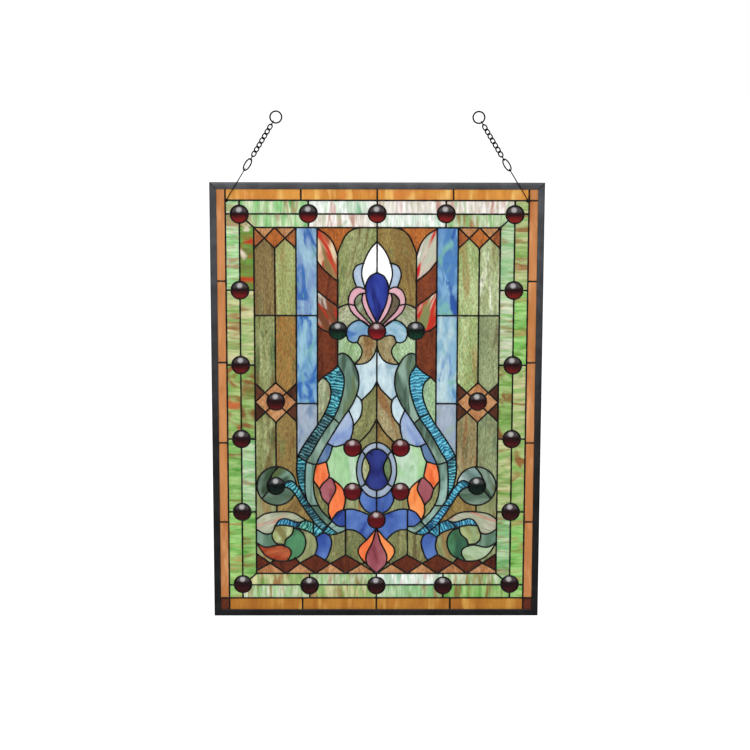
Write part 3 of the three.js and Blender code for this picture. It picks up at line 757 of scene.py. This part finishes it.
# how each kind of glass was rolled; scales are per mm across and along the grain of the sheet
evenGlass = {"speckle": 0.0, "relief": 0.12, "rough": 0.22}
glassLooks = {
    "wispy": {"cloud": (0.050, 0.010), "streak": (0.060, 0.012), "fleck": (0.026, 0.016), "edge": 0.20,
              "swirl": 0.3, "grain": (0.30, 0.05), "grainDepth": 0.14, "relief": 0.10, "rough": 0.24},
    "streaky": {"cloud": (0.130, 0.020), "streak": (0.080, 0.016), "fleck": (0.070, 0.020), "edge": 0.19,
                "swirl": 0.6, "grain": (0.34, 0.05), "grainDepth": 0.46},
    "brushed": {"cloud": (0.070, 0.014), "streak": (0.062, 0.013), "fleck": (0.066, 0.015), "edge": 0.12,
                "swirl": 0.5, "grain": (0.34, 0.06), "grainDepth": 0.24},
    "granular": {"cloud": (0.075, 0.009), "streak": (0.085, 0.010), "fleck": (0.064, 0.012), "edge": 0.15,
                 "swirl": 0.5, "grain": (0.60, 0.20), "grainDepth": 0.95, "speckle": 0.5, "relief": 0.45,
                 "rough": 0.34},
    "mottled": {"cloud": (0.040, 0.018), "streak": (0.032, 0.016), "fleck": (0.036, 0.018), "edge": 0.20,
                "swirl": 1.2, "grain": (0.22, 0.08), "grainDepth": 0.24},
    "marbled": {"cloud": (0.044, 0.016), "streak": (0.046, 0.017), "fleck": (0.038, 0.018), "edge": 0.155,
                "swirl": 1.2, "grain": (0.22, 0.08), "grainDepth": 0.26},
    "blotched": {"cloud": (0.080, 0.024), "streak": (0.036, 0.022), "fleck": (0.040, 0.026), "edge": 0.16,
                 "swirl": 0.9, "grain": (0.34, 0.05), "grainDepth": 0.34},
    "smooth": {"cloud": (0.032, 0.018), "streak": (0.036, 0.018), "fleck": (0.04, 0.02), "edge": 0.18,
               "swirl": 0.5, "grain": (0.26, 0.12), "grainDepth": 0.16, "relief": 0.08, "rough": 0.18},
    "smoky": {"cloud": (0.055, 0.014), "streak": (0.050, 0.012), "fleck": (0.045, 0.014), "edge": 0.15,
              "swirl": 0.7, "grain": (0.26, 0.08), "grainDepth": 0.18, "relief": 0.10, "rough": 0.2},
}
ripples = {"pitch": 4.6, "waver": 2.2, "wander": (0.070, 0.060), "break": (0.20, 0.15), "jag": 9.0,
           "patch": (0.05, 0.05), "relief": 0.7, "rough": 0.2}
toneNames = ("mainTone", "secondTone", "streakTone", "fleckTone")


def startGlass(name, rough):
    # a new glass, with the place on its sheet and its four tones
    material, graph, shader = newMaterial("glass_" + name, Roughness=rough, IOR=1.5,
                                          Specular_IOR_Level=0.3, Transmission_Weight=0.12)
    sheet = graph.node("ShaderNodeAttribute", {"attribute_name": "sheet"}, {}, output="Vector")
    tones = [graph.node("ShaderNodeAttribute", {"attribute_name": tone}, {}, output="Color")
             for tone in toneNames]
    return material, graph, shader, sheet, tones


def finishGlass(graph, shader, colour, height, relief):
    feed(graph, shader, "Base Color", colour)
    feed(graph, shader, "Normal", bumped(graph, height, relief, 0.0012))


def glassMaterial(name, look):
    material, graph, shader, sheet, tones = startGlass(name, look["rough"])
    colour, *others = tones
    edge = look["edge"]
    limits = {"cloud": (0.5 - edge, 0.5 + edge), "streak": (0.50, 0.50 + edge), "fleck": (0.55, 0.55 + edge)}
    for number, (layer, tone) in enumerate(zip(limits, others)):
        shift = {0: sheet, 1: (40 * number, 90, 17)}  # each layer has a pattern of its own
        shifted = graph.node("ShaderNodeVectorMath", {"operation": "ADD"}, shift)
        wisps = noiseOn(graph, shifted, look[layer], detail=2.5, distortion=look["swirl"], roughness=0.55)
        colour = blend(graph, ramped(graph, wisps, *limits[layer]), colour, tone)
    across, along = look["grain"]
    grain = noiseOn(graph, sheet, (across, along), detail=4, roughness=0.7)
    spread = ramped(graph, grain, 0.25, 0.75)
    if look["speckle"]:
        dots = noiseOn(graph, shifted, (across * 0.8, along * 0.7), detail=3, roughness=0.7)
        colour = blend(graph, look["speckle"] * ramped(graph, dots, 0.46, 0.62), colour, others[1])
    colour = scaled(graph, colour, 1 - look["grainDepth"] / 2 + look["grainDepth"] * spread)
    finishGlass(graph, shader, colour, grain * 0.8 + wisps * 0.4, look["relief"])
    return material


def rippleMaterial():
    # ridges run along the grain, broken here and there: painted shade in the troughs, painted highlights on
    # the crests and half-lit slopes, and patches of deeper colour
    material, graph, shader, sheet, tones = startGlass("rippled", ripples["rough"])
    trough, crest, slope, shade = tones
    across = graph.node("ShaderNodeSeparateXYZ", {}, {0: sheet}, output="X")
    wander = noiseOn(graph, sheet, ripples["wander"], detail=2)
    broken = noiseOn(graph, sheet, ripples["break"], detail=3, distortion=0.6)
    phase = across * (math.tau / ripples["pitch"]) + wander * (math.tau * ripples["waver"])
    phase = phase + broken * ripples["jag"]
    ridge = graph.node("ShaderNodeMath", {"operation": "SINE"}, {0: phase})
    height = ridge + (broken - 0.5) * 3.0
    patch = noiseOn(graph, sheet, ripples["patch"], detail=1)
    # painted shade and highlight: the colour follows the height of the ridges
    colour = blend(graph, ramped(graph, height, -1.0, 0.2), trough, slope)
    colour = blend(graph, ramped(graph, height, 0.1, 1.1), colour, crest)
    colour = blend(graph, ramped(graph, patch, 0.52, 0.66) * 0.6, colour, shade)
    finishGlass(graph, shader, colour, height, ripples["relief"])
    return material


glass = {name: glassMaterial(name, {**evenGlass, **look}) for name, look in glassLooks.items()}
glass["rippled"] = rippleMaterial()


def select(*pieces):
    bpy.ops.object.select_all(action="DESELECT")
    for piece in pieces:
        piece.select_set(True)
    bpy.context.view_layer.objects.active = pieces[0]


def paneGroup(name, plan):
    size = {"thickness": 3.0, "inset": 0.4, "shortest": 0.9}
    corners = []
    faces = []
    for pane, kind, grain, chance in plan:
        ring = evenRing(loopAround(pane), size["shortest"])
        faces.append(list(range(len(corners), len(corners) + len(ring))))
        corners += [place(*spots[i], -size["thickness"] / 2) for i in ring]
    mesh = bpy.data.meshes.new(name)
    mesh.from_pydata(corners, [], faces)
    group = bpy.data.objects.new(name, mesh)
    bpy.context.collection.objects.link(group)
    numbers = mesh.attributes.new("pane", "INT", "FACE")
    numbers.data.foreach_set("value", range(len(plan)))
    used = sorted({sheets[kind][0] for pane, kind, grain, chance in plan})
    for look in used:
        mesh.materials.append(glass[look])
    for face, (pane, kind, grain, chance) in zip(mesh.polygons, plan):
        face.material_index = used.index(sheets[kind][0])
    select(group)
    bpy.ops.object.mode_set(mode="EDIT")
    bpy.ops.mesh.select_mode(type="FACE")
    bpy.ops.mesh.select_all(action="SELECT")
    bpy.ops.mesh.inset(thickness=size["inset"] * mm, use_individual=True)
    bpy.ops.mesh.select_all(action="INVERT")
    bpy.ops.mesh.delete(type="FACE")
    bpy.ops.object.mode_set(mode="OBJECT")
    if max(group.data.polygons, key=lambda face: face.area).normal.y > 0:
        group.data.flip_normals()
    for face in group.data.polygons:
        face.select = face.normal.y > 0  # slivers thinner than the gap, which the leads cover
    bpy.ops.object.mode_set(mode="EDIT")
    bpy.ops.mesh.delete(type="FACE")
    bpy.ops.mesh.select_mode(type="VERT")
    bpy.ops.object.mode_set(mode="OBJECT")
    wall = group.modifiers.new("thickness", "SOLIDIFY")
    wall.thickness = size["thickness"] * mm
    wall.offset = -1
    bpy.ops.object.modifier_apply(modifier=wall.name)
    paintPanes(group.data, plan)
    return group


def paintPanes(mesh, plan):
    paneOf = [0] * len(mesh.vertices)
    for face in mesh.polygons:
        number = mesh.attributes["pane"].data[face.index].value
        for corner in face.vertices:
            paneOf[corner] = number
    places = []
    colours = {tone: [] for tone in toneNames}
    for vertex, number in zip(mesh.vertices, paneOf):
        pane, kind, grain, chance = plan[number]
        turn = math.radians(grain)
        x = vertex.co.x / mm
        z = vertex.co.z / mm
        across = x * math.cos(turn) + z * math.sin(turn)
        along = z * math.cos(turn) - x * math.sin(turn)
        places += [across + chance, along, chance + vertex.co.y / mm]
        for tone, colour in zip(colours, sheets[kind][1:]):
            colours[tone] += colour
    mesh.attributes.new("sheet", "FLOAT_VECTOR", "POINT").data.foreach_set("vector", places)
    for tone, values in colours.items():
        mesh.attributes.new(tone, "FLOAT_COLOR", "POINT").data.foreach_set("color", values)


replacedGlass = {"side_panes": "side_glass_", "column_panes": "column_glass_"}
for name, plan in sorted(describeAll().items()):
    group = paneGroup(name if name.endswith("panes") or "_panes_" in name else name + "_panes", plan)
    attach(group, "root")
    if "border" in name:
        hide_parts(name)
    elif name.startswith(tuple(replacedGlass)):
        start, side = name.rsplit("_", 1)
        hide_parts(replacedGlass[start] + side)
        "glass_olive" if start == "side_panes" else "glass_blue"
    else:
        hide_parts("centre_glass")
print("glass laid")


def metalMaterial(name, dark, light, metallic, rough, size, relief):
    material, graph, shader = newMaterial(name, Metallic=metallic)
    where = objectPlace(graph)
    cloud = noiseOn(graph, where, (size, size, size), detail=4, distortion=0.4)
    fine = noiseOn(graph, where, (size * 9, size * 9, size * 9), detail=3)
    colour = blend(graph, ramped(graph, cloud, 0.35, 0.7), dark, light)
    feed(graph, shader, "Base Color", colour)
    feed(graph, shader, "Roughness", rough - 0.1 + 0.2 * cloud + 0.1 * fine)
    feed(graph, shader, "Normal", bumped(graph, cloud + 0.5 * fine, relief, 0.0006))
    return material, graph, shader, colour


# painted shade: the frame is darker low down, as if lit from above: its lowest share, what the top adds, and
# over how many metres
frameShade = {"low": 0.12, "rise": 0.50, "over": 0.45}


def frameMaterial():
    material, graph, shader, colour = metalMaterial("frame_patina", rgb("5c5d61"), rgb("707277"),
                                                    0.4, 0.42, 40, 0.25)
    # painted shade: the frame's base colour darkens towards the bottom of the panel, on top of its patina
    # clouds
    lit = ramped(graph, heightOf(graph), panel["top"] - frameShade["over"], panel["top"])
    feed(graph, shader, "Base Color", scaled(graph, colour, frameShade["low"] + frameShade["rise"] * lit))
    return material


framePatinaAndShade = frameMaterial()
solder = metalMaterial("dark_solder", rgb("0e0e0d"), rgb("22211f"), 0.4, 0.46, 180, 0.4)[0]
blackIron = metalMaterial("black_iron", rgb("141415"), rgb("2c2b2a"), 0.7, 0.46, 220, 0.3)[0]


leadBead = {"halfWidth": 1.5, "ringHalfWidth": 1.35, "halfDepth": 2.55, "swell": 0.25, "swellReach": 4.5,
            "waver": 0.14, "waverScale": 0.12}


def beadRadius(point, ends):
    scale = leadBead["waverScale"]
    waver = 1 + leadBead["waver"] * noise.noise((point.x * scale, point.y * scale, 3.0))
    nearest = min(((point - end).length for end in ends), default=leadBead["swellReach"])
    swell = max(0.0, 1 - nearest / leadBead["swellReach"])
    return waver * (1 + leadBead["swell"] * swell * swell)


def beadCurve(name, lines, halfWidth, closed):
    curve = bpy.data.curves.new(name, "CURVE")
    curve.dimensions = "3D"
    curve.bevel_depth = halfWidth * mm
    curve.bevel_resolution = 2
    curve.use_fill_caps = True
    for line in lines:
        spline = curve.splines.new("POLY")
        spline.points.add(len(line) - 1)
        spline.use_cyclic_u = closed
        for target, point in zip(spline.points, line):
            target.co = (*place(point.x, point.y), 1)
            target.radius = beadRadius(point, [] if closed else (line[0], line[-1]))
    bead = bpy.data.objects.new(name, curve)
    bpy.context.collection.objects.link(bead)
    select(bead)
    bpy.ops.object.convert(target="MESH")
    bead = bpy.context.object
    bead.scale.y = leadBead["halfDepth"] / leadBead["halfWidth"]
    bpy.ops.object.transform_apply(location=True, rotation=True, scale=True)
    bpy.ops.object.shade_smooth()
    bead.data.materials.clear()
    bead.data.materials.append(solder)
    return bead


leadLines = beadCurve("lead_lines", seams, leadBead["halfWidth"], closed=False)
rings = [roundThrough(centre, (jewelSize["rim"],) * 2, (0, 360), step=jewelSize["step"])[:-1]
         for colour, centre in jewels]
leadRings = beadCurve("lead_rings", rings, leadBead["ringHalfWidth"], closed=True)
for bead in (leadLines, leadRings):
    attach(bead, "root")
    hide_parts("leadwork")
print("leads run:", len(leadLines.data.polygons), "faces")


def jewelMaterial(name, deep, glow):
    # painted light: each jewel's base colour glows in its lower half, where the light it takes in would
    # gather, and more in jewels high on the panel
    material, graph, shader = newMaterial(name, Roughness=0.05, IOR=1.8, Coat_Weight=1.0, Coat_IOR=1.7,
                                          Coat_Roughness=0.03, Transmission_Weight=0.05)
    below = graph.node("ShaderNodeAttribute", {"attribute_name": "below"}, {}, output="Fac")
    cloud = noiseOn(graph, objectPlace(graph), (110, 110, 110), detail=2)
    gathered = ramped(graph, below + 0.25 * (cloud - 0.5), 0.45, 0.95)
    # painted light: jewels higher on the panel get more of the painted glow
    lit = ramped(graph, heightOf(graph), panel["top"] - 0.5, panel["top"])
    feed(graph, shader, "Base Color", blend(graph, gathered * (0.12 + 0.88 * lit), deep, glow))
    return material


# each jewel's deep colour, and the colour of its painted glow
jewelGlass = {
    "darkred": jewelMaterial("jewel_garnet", rgb("1e060a"), rgb("841a18")),
    "darkgreen": jewelMaterial("jewel_dark_green", rgb("04100c"), rgb("10422e")),
    "red": jewelMaterial("jewel_ruby", rgb("540810"), rgb("a41c22")),
}


def makeDome():
    # the profile of half a jewel, turned about its axis
    shape = {"radius": jewelSize["glass"], "chamfer": 0.4, "steps": 12, "turns": 48}
    rise = jewelSize["rise"]
    ball = (shape["radius"] ** 2 + rise ** 2) / (2 * rise)
    widest = math.asin(shape["radius"] / ball)
    profile = [(0, jewelSize["back"]), (shape["radius"] - shape["chamfer"], jewelSize["back"]),
               (shape["radius"], jewelSize["back"] - shape["chamfer"])]
    for i in range(shape["steps"] + 1):
        angle = widest * (1 - i / shape["steps"])
        profile.append((ball * math.sin(angle), -jewelSize["back"] - rise + ball * (1 - math.cos(angle))))
    mesh = bpy.data.meshes.new("dome")
    mesh.from_pydata([(across * mm, depth * mm, 0) for across, depth in profile],
                     [(i, i + 1) for i in range(len(profile) - 1)], [])
    dome = bpy.data.objects.new("dome", mesh)
    bpy.context.collection.objects.link(dome)
    select(dome)
    bpy.ops.object.mode_set(mode="EDIT")
    bpy.ops.mesh.select_all(action="SELECT")
    bpy.ops.mesh.spin(steps=shape["turns"], angle=math.tau, center=(0, 0, 0), axis=(0, 1, 0),
                      use_auto_merge=True)
    bpy.ops.mesh.select_all(action="SELECT")
    bpy.ops.mesh.remove_doubles(threshold=0.00001)
    bpy.ops.mesh.normals_make_consistent(inside=False)
    bpy.ops.object.mode_set(mode="OBJECT")
    bpy.ops.object.shade_smooth_by_angle(angle=math.radians(40))
    return dome


dome = makeDome()
for node in sorted(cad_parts):
    if not node.startswith("jewel_"):
        continue
    colour = node.split("_")[1]
    low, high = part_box(node)
    stone = dome.copy()
    stone.data = dome.data.copy()
    stone.name = node + "_stone"
    bpy.context.collection.objects.link(stone)
    stone.location = ((low.x + high.x) / 2, 0, (low.z + high.z) / 2)
    select(stone)
    depths = [0.5 - corner.co.z / (2 * jewelSize["glass"] * mm) for corner in stone.data.vertices]
    bpy.ops.object.transform_apply(location=True, rotation=True, scale=True)
    stone.data.attributes.new("below", "FLOAT", "POINT").data.foreach_set("value", depths)
    stone.data.materials.append(jewelGlass[colour])
    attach(stone, "root")
    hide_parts(node)
bpy.data.objects.remove(dome)
print("jewels set")


# how round the bar's outer and inner edges are, in mm, and how much shorter than the bar each may be
barRound = {"outer": 2.2, "inner": 1.0, "full": 1, "mitred": 15}


def roundEdges(bar, amount, chosen):
    # rounds the long edges of the front and back that are chosen by how much shorter than the bar they are
    ends = [corner.co for corner in bar.data.vertices]
    front = max(abs(end.y) for end in ends) - 0.1 * mm
    longest = max(bar.dimensions)
    bpy.ops.object.mode_set(mode="EDIT")
    bpy.ops.mesh.select_mode(type="EDGE")
    bpy.ops.object.mode_set(mode="OBJECT")
    for corner in bar.data.vertices:
        corner.select = False
    for face in bar.data.polygons:
        face.select = False
    for edge in bar.data.edges:
        a, b = (ends[corner] for corner in edge.vertices)
        long = (a - b).length > longest / 2 and min(abs(a.y), abs(b.y)) > front
        edge.select = long and chosen((longest - (a - b).length) / mm)
    bpy.ops.object.mode_set(mode="EDIT")
    bpy.ops.mesh.bevel(offset=amount * mm, segments=4, affect="EDGES")
    bpy.ops.object.mode_set(mode="OBJECT")


def dressBar(node):
    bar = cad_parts[node].copy()
    bar.data = bar.data.copy()
    bar.name = node + "_bar"
    bpy.context.collection.objects.link(bar)
    select(bar)
    bpy.ops.object.mode_set(mode="EDIT")
    bpy.ops.mesh.select_all(action="SELECT")
    bpy.ops.mesh.remove_doubles(threshold=0.00001)
    bpy.ops.mesh.dissolve_limited(angle_limit=math.radians(1))
    bpy.ops.object.mode_set(mode="OBJECT")
    roundEdges(bar, barRound["outer"], lambda shortfall: shortfall < barRound["full"])
    roundEdges(bar, barRound["inner"], lambda shortfall: shortfall > barRound["mitred"])
    bpy.ops.object.shade_smooth_by_angle(angle=math.radians(35))
    bar.data.materials.clear()
    bar.data.materials.append(framePatinaAndShade)
    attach(bar, "root")
    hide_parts(node)
    return bar


for side in ("top", "bottom", "left", "right"):
    dressBar("frame_" + side)
print("frame dressed")


# a clasp is where it starts, its length, width and wire; a connector its length, width and wire
hang = {"foot": (205.5, 24.5), "wire": 1.3, "stand": 4.1, "wireTop": 50.2,
        "clasp": (46.5, 20.0, 9.5, 2.0), "connector": (8.4, 5.8, 1.4), "slack": 0.3, "ringWire": 2.2,
        "link": {"length": 10.5, "width": 7.2, "wire": 1.9, "twist": 1.1, "count": 7, "points": 32}}


def wirePiece(name, paths, material=None):
    curve = bpy.data.curves.new(name, "CURVE")
    curve.dimensions = "3D"
    curve.bevel_depth = 1.0
    curve.bevel_resolution = 4
    curve.use_fill_caps = True
    for path, radius, closed in paths:
        spline = curve.splines.new("POLY")
        spline.points.add(len(path) - 1)
        spline.use_cyclic_u = closed
        for target, point in zip(spline.points, path):
            target.co = (*point, 1)
            target.radius = radius * mm
    piece = bpy.data.objects.new(name, curve)
    bpy.context.collection.objects.link(piece)
    select(piece)
    bpy.ops.object.convert(target="MESH")
    piece = bpy.context.object
    bpy.ops.object.shade_smooth()
    piece.data.materials.clear()
    piece.data.materials.append(material or blackIron)
    return piece


def hangingGear(side, hand):
    foot = place(hand * hang["foot"][0], hang["foot"][1])
    low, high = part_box("end_ring_" + side)
    ringMiddle = (low + high) / 2
    up = (ringMiddle - foot).normalized()
    across = Vector((up.z, 0, -up.x))
    back = Vector((0, 1, 0))

    def at(sideways, depth, along):
        return foot + (across * sideways + back * depth + up * along) * mm

    def oval(length, width, wire, middle, facing, steps=28):
        path = []
        for i in range(steps):
            turn = math.tau * i / steps
            outward = (width - wire) / 2 * math.cos(turn)
            along = middle + (length - wire) / 2 * math.sin(turn)
            path.append(at(outward, 0, along) if facing == "front" else at(0, outward, along))
        return path, wire / 2, True

    stand = hang["stand"]
    top = hang["wireTop"]
    half = [(stand, 0), (stand, 12), (stand, 24), (3.7, 36), (2.6, top - 3), (1.4, top - 0.7)]
    outline = [(-depth, along) for depth, along in half] + [(0, top)] + half[::-1]
    loopPath = [at(0, p.x, p.y) for p in curveThrough(outline, step=1.2)]
    wire = wirePiece("wire_loop_" + side + "_wire", [(loopPath, hang["wire"] / 2, False)])
    first, length, width, thick = hang["clasp"]
    clasp = wirePiece("clasp_" + side + "_hook", [oval(length, width, thick, first + length / 2, "front")])
    link = hang["link"]
    slack = hang["slack"]
    pitch = link["length"] - 2 * link["wire"] + slack
    connectorLength, connectorWidth, connectorWire = hang["connector"]
    start = first + length - thick - slack - connectorWire + connectorLength / 2
    hooked = connectorLength / 2 - connectorWire + link["length"] / 2 - link["wire"] + slack
    paths = []
    for i in range(link["count"]):
        middle = start + hooked + pitch * i
        path = []
        for step in range(link["points"]):
            turn = math.tau * step / link["points"]
            path.append(at((link["width"] - link["wire"]) / 2 * math.cos(turn),
                           link["twist"] * math.sin(2 * turn),
                           middle + (link["length"] - link["wire"]) / 2 * math.sin(turn)))
        paths.append((path, link["wire"] / 2, True))
    end = start + 2 * hooked + (link["count"] - 1) * pitch
    for middle in (start, end):
        paths.append(oval(connectorLength, connectorWidth, connectorWire, middle, "side"))
    chain = wirePiece("chain_" + side + "_links", paths)
    outer = (high.z - low.z) / mm
    reach = (ringMiddle - foot).length / mm
    endRing = wirePiece("end_ring_" + side + "_wire",
                        [oval(outer, outer, hang["ringWire"], reach, "front", steps=40)])
    for piece, node in ((wire, "wire_loop_"), (clasp, "clasp_"), (chain, "chain_"), (endRing, "end_ring_")):
        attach(piece, "root")
        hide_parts(node + side)


def frameSolder():
    # a thin seam along each mitre, and a blob where each wire is soldered to the corner of the leads
    size = {"seam": 0.5, "seamSunk": 0.2, "blob": 2.6, "blobDepth": 1.5, "blobSunk": 0.7, "lumps": 0.25}
    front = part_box("frame_top")[0].y / mm
    paths = []
    for hand in (-1, 1):
        for edge, down in ((0, 1), (panel["height"], -1)):
            ends = [(hand * (panel["halfWidth"] - reach), edge + down * reach)
                    for reach in (1.0, panel["face"] - 0.6)]
            paths.append(([place(*end, front + size["seamSunk"]) for end in ends], size["seam"], False))
    seam = wirePiece("frame_mitre_solder", paths, solder)
    blobs = []
    for hand in (-1, 1):
        spot = place(hand * hang["foot"][0], hang["foot"][1], front + size["blobSunk"])
        bpy.ops.mesh.primitive_uv_sphere_add(segments=24, ring_count=14, radius=size["blob"] * mm,
                                             location=spot)
        blob = bpy.context.object
        blob.scale.y = size["blobDepth"] / size["blob"]
        bpy.ops.object.transform_apply(location=True, rotation=True, scale=True)
        for corner in blob.data.vertices:
            corner.co += (corner.co - spot) * size["lumps"] * noise.noise(corner.co * 600)
        bpy.ops.object.shade_smooth()
        blob.name = "wire_foot_solder_" + ("left" if hand < 0 else "right")
        blob.data.materials.append(solder)
        blobs.append(blob)
    for piece in [seam] + blobs:
        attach(piece, "root")


frameSolder()
hangingGear("left", -1)
hangingGear("right", 1)
print("hanging gear made")


studio = {"floor": 400, "below": 1.6, "floorGlow": 0.42, "sky": 0.8, "key": 33, "top": 22,
          "window": Vector((-0.10, -0.73, 0.68)).normalized(), "windowGlow": 2.7, "dim": 0.05,
          "overhead": 0.34}


def makeFloor():
    bpy.ops.mesh.primitive_plane_add(size=studio["floor"], location=(0, 0, panel["top"] - studio["below"]))
    floor = bpy.context.object
    floor.name = "floor"
    material, graph, shader = newMaterial("pale_floor", Roughness=0.9, Specular_IOR_Level=0.0)
    shader.inputs["Base Color"].default_value = (0.93, 0.93, 0.93, 1)
    shader.inputs["Emission Color"].default_value = (1, 1, 1, 1)
    shader.inputs["Emission Strength"].default_value = studio["floorGlow"]
    floor.data.materials.append(material)
    floor.visible_glossy = False


def makeSky():
    # even light, white where it is seen itself, and for reflections a dim room with one soft window
    world = bpy.data.worlds.new("studio")
    world.use_nodes = True
    bpy.context.scene.world = world
    graph = Value(world.node_tree)
    background = world.node_tree.nodes["Background"]
    direction = graph.node("ShaderNodeTexCoord", {}, {}, output="Generated")
    up = graph.node("ShaderNodeSeparateXYZ", {}, {0: direction}, output="Z")
    glossy = graph.node("ShaderNodeLightPath", {}, {}, output="Is Glossy Ray")
    window = graph.node("ShaderNodeVectorMath", {"operation": "DOT_PRODUCT"},
                        {0: direction, 1: studio["window"]}, output="Value")
    gloss = studio["dim"] + studio["overhead"] * ramped(graph, up, 0.02, 0.5)
    gloss = gloss + studio["windowGlow"] * ramped(graph, window, 0.83, 0.99)
    direct = graph.node("ShaderNodeLightPath", {}, {}, output="Is Camera Ray")
    strength = studio["sky"] + glossy * (gloss - studio["sky"]) + direct * (1 - studio["sky"])
    background.inputs["Color"].default_value = (1, 1, 1, 1)
    world.node_tree.links.new(strength.socket, background.inputs["Strength"])


def softLight(name, spot, aim, size, power):
    light = bpy.data.lights.new(name, "AREA")
    light.size = size
    light.energy = power
    lamp = bpy.data.objects.new(name, light)
    lamp.location = spot
    lamp.visible_glossy = False
    lamp.rotation_euler = (Vector(aim) - Vector(spot)).to_track_quat("-Z", "Y").to_euler()
    bpy.context.collection.objects.link(lamp)


def makeCamera():
    view = {"lens": 85.0, "distance": 2.451, "turn": -0.55, "height": 9.24, "roll": 0.13,
            "aim": place(-2.5, 265.5)}
    turn = math.radians(view["turn"])
    height = math.radians(view["height"])
    back = Vector((math.sin(turn) * math.cos(height), -math.cos(turn) * math.cos(height), math.sin(height)))
    data = bpy.data.cameras.new("camera")
    data.lens = view["lens"]
    camera = bpy.data.objects.new("camera", data)
    camera.location = view["aim"] + back * view["distance"]
    facing = (-back).to_track_quat("-Z", "Y").to_matrix()
    roll = Vector((0, 0, 1))
    camera.rotation_euler = (facing @ rotationAbout(roll, view["roll"])).to_euler()
    bpy.context.collection.objects.link(camera)
    bpy.context.scene.camera = camera


def rotationAbout(axis, degrees):
    return Matrix.Rotation(math.radians(degrees), 3, axis)


makeFloor()
makeSky()
softLight("key", (-0.6, -2.6, 1.6), place(0, 300), 1.6, studio["key"])
softLight("top", (0.4, 0.2, 2.4), place(0, 300), 2.0, studio["top"])
makeCamera()
bpy.context.scene.view_settings.view_transform = "Standard"
